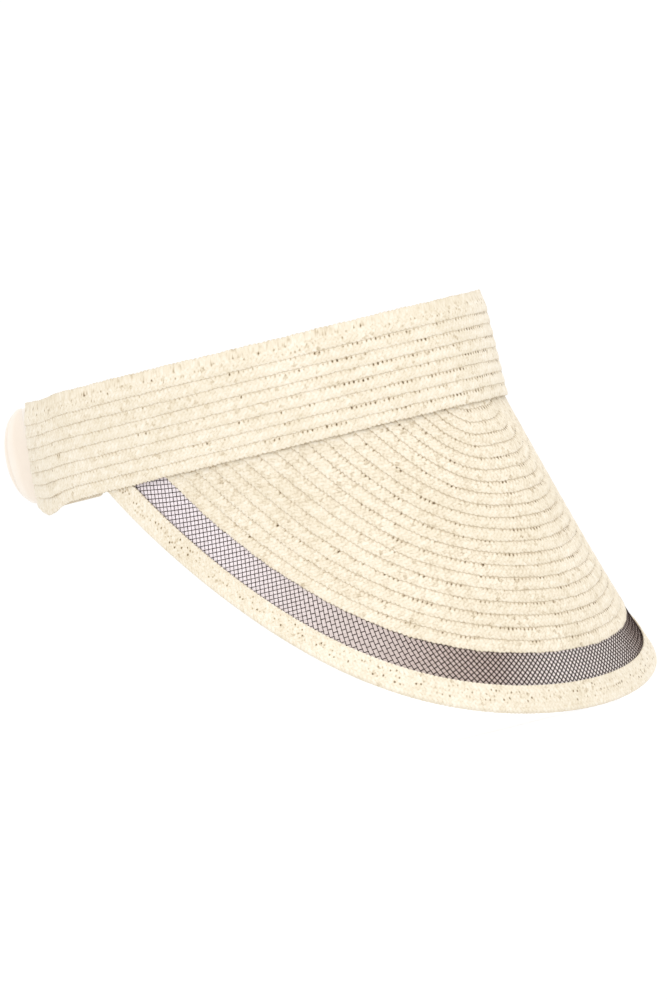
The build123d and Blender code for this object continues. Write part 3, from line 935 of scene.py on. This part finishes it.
def sweatband_stitches():
    """Running stitches along both of the tape's seams."""
    made, out, count = [], -SWEAT_INSET - STITCH_INSET, 3000
    fine = np.radians(np.linspace(-SWEAT_REACH, SWEAT_REACH, count))
    run = distances(wall(fine, np.zeros(count), np.full(count, out)))
    for seam in SEAMS:
        for at in np.arange(2 * MM, run[-1] - STITCH - 2 * MM, STITCH + STITCH_GAP):
            a = np.interp([at, at + STITCH / 2, at + STITCH], run, fine)
            made.append(stitch(a, sweat_height(a, seam), out, 0.0, STITCH_RADIUS, STITCH_SAG))
    return stitches("sweatband_stitches", made, STITCH_RADIUS)


def tack_bars(side):
    """Bars of close satin stitches that hold one end of the strap."""
    made, out = [], -(FLAT_INSET + FLAT_THICKNESS / 2 + 0.5 * MM)
    a = np.radians(side * TACK_ANGLE + np.array([-TACK_SPREAD, 0.0, TACK_SPREAD]))
    for low in TACK_HEIGHTS:
        for k in range(TACK_STITCHES):
            z = low + TACK_HEIGHT * (k + 0.5) / TACK_STITCHES
            tilt = np.array([0, 0, TACK_TILT * (-1) ** k])
            made.append(stitch(a, np.full(3, z), out, tilt, TACK_RADIUS, TACK_SAG))
    name = "tack_stitches_left" if side > 0 else "tack_stitches_right"
    return stitches(name, made, TACK_RADIUS)


sleeve = finish_piece(strap_sleeve(), satin, "satin", None, "strap_sleeve")
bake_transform(sleeve)
elastic = finish_piece(strap_elastic(), elastic_cloth, "elastic", None, "strap_elastic")
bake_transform(elastic)
tape, tape_length = sweatband()
finish_piece(tape, tape_cloth, "sweatband", "visor", "sweatband")

thread = filament("sewing_thread", (0.80, 0.70, 0.53), 0.5, Sheen_Weight=0.2)
seams = sweatband_stitches()
finish_piece(seams, thread, "thread", "visor")
finish_piece(tack_bars(-1), thread, "thread", "visor", "strap_tacks_right")
finish_piece(tack_bars(1), thread, "thread", "visor", "strap_tacks_left")

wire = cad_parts["rim_wire"]
wire.data.materials.clear()
wire.data.materials.append(filament("wire_coating", (0.80, 0.78, 0.72), 0.35))


# ---------------------------------------------------------------- camera, light and floor

AIM = Vector((10.48, -14.97, -23.46)) * MM
TURN, ROLL = radians(35.0), radians(13.7)
DISTANCE, FRAME_HEIGHT, SENSOR = 12.0, 384.6 * MM, 36.0

side = Vector((sin(TURN), -cos(TURN), 0))
back = Vector((-cos(TURN), -sin(TURN), 0))
right = side * cos(ROLL) - Vector((0, 0, 1)) * sin(ROLL)
up = side * sin(ROLL) + Vector((0, 0, 1)) * cos(ROLL)
camera_data = bpy.data.cameras.new("camera")
camera_data.sensor_width = SENSOR
camera_data.lens = SENSOR * DISTANCE / FRAME_HEIGHT
camera = bpy.data.objects.new("camera", camera_data)
bpy.context.collection.objects.link(camera)
turn = Matrix((right, up, back)).transposed().to_4x4()
camera.matrix_world = Matrix.Translation(AIM + back * DISTANCE) @ turn
bpy.context.scene.camera = camera

world = bpy.data.worlds.new("studio")
world.use_nodes = True
world.node_tree.nodes["Background"].inputs["Color"].default_value = (1, 1, 1, 1)
world.node_tree.nodes["Background"].inputs["Strength"].default_value = WORLD_LIGHT
bpy.context.scene.world = world
bpy.context.scene.view_settings.view_transform = "Standard"


def sun_light(name, towards, spread, strength):
    data = bpy.data.lights.new(name, "SUN")
    data.angle = radians(spread)
    data.energy = strength
    light = bpy.data.objects.new(name, data)
    bpy.context.collection.objects.link(light)
    light.rotation_euler = Vector(towards).to_track_quat("-Z", "Y").to_euler()


for name, towards, spread, strength in LIGHTS:
    sun_light(name, towards, spread, strength)

floor_material, _, floor_shader = material("floor", 0.9)
floor_shader.inputs["Base Color"].default_value = (0.30, 0.30, 0.30, 1)
floor_shader.inputs["Emission Color"].default_value = (1, 1, 1, 1)
floor_shader.inputs["Emission Strength"].default_value = 0.72
low = min(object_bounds()[0][2], cad_box[0][2]) - 0.2 * MM
corners = [(x, y, low) for x, y in ((-4.0, -4.0), (4.0, -4.0), (4.0, 4.0), (-4.0, 4.0))]
floor = new_piece("floor", corners, np.array([[0, 1, 2, 3]]))
floor.data.materials.append(floor_material)
